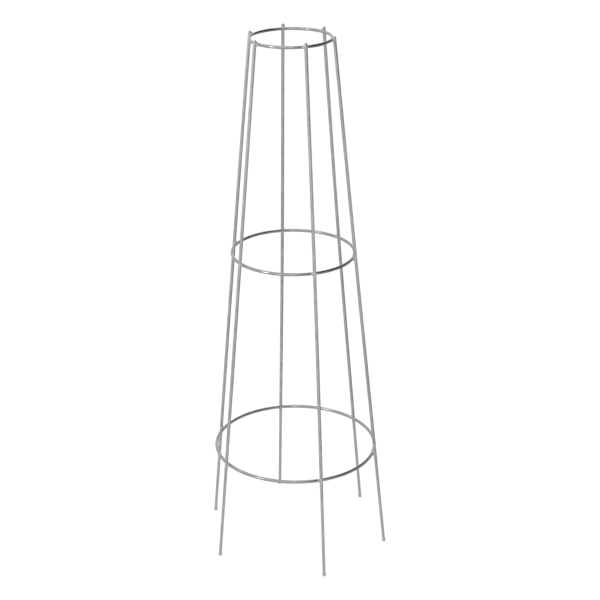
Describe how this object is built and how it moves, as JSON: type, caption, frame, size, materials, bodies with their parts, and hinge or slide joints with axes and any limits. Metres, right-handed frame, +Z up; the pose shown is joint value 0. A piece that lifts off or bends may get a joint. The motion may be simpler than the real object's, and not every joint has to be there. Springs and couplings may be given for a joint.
{
  "type": "wire trellis column",
  "caption": "Tapered plant support column of galvanised wire: nearly straight legs welded outside wire hoops, narrowing towards the top, with long stakes below.",
  "frame": {"origin": "where the column's middle line meets the ground, at the level of the flats under the feet", "axes": "+Z up, from which the column's middle line leans 0.7 degrees to the left; +X to the right and +Y away from whoever faces the front, where one leg stands a little right of the middle"},
  "size_m": [0.3675, 0.3772, 1.0678],
  "materials": {
    "leg_wire": "galvanised, satin grey zinc with faint streaks along the wire",
    "hoop_wire": "galvanised, bright smooth zinc",
    "weld": "galvanised over, pale rounded zinc"
  },
  "bodies": {
    "root": {"leg_right_back": "leg_wire", "leg_back": "leg_wire", "leg_left_back": "leg_wire", "leg_left_front": "leg_wire", "leg_front": "leg_wire", "leg_right": "leg_wire", "top_hoop": "hoop_wire", "middle_hoop": "hoop_wire", "bottom_hoop": "hoop_wire", "top_hoop_butt_weld": "weld", "middle_hoop_butt_weld": "weld", "bottom_hoop_butt_weld": "weld", "top_weld_right_back": "weld", "top_weld_back": "weld", "top_weld_left_back": "weld", "top_weld_left_front": "weld", "top_weld_front": "weld", "top_weld_right": "weld", "middle_weld_right_back": "weld", "middle_weld_back": "weld", "middle_weld_left_back": "weld", "middle_weld_left_front": "weld", "middle_weld_front": "weld", "middle_weld_right": "weld", "bottom_weld_right_back": "weld", "bottom_weld_back": "weld", "bottom_weld_left_back": "weld", "bottom_weld_left_front": "weld", "bottom_weld_front": "weld", "bottom_weld_right": "weld"}
  },
  "joints": []
}
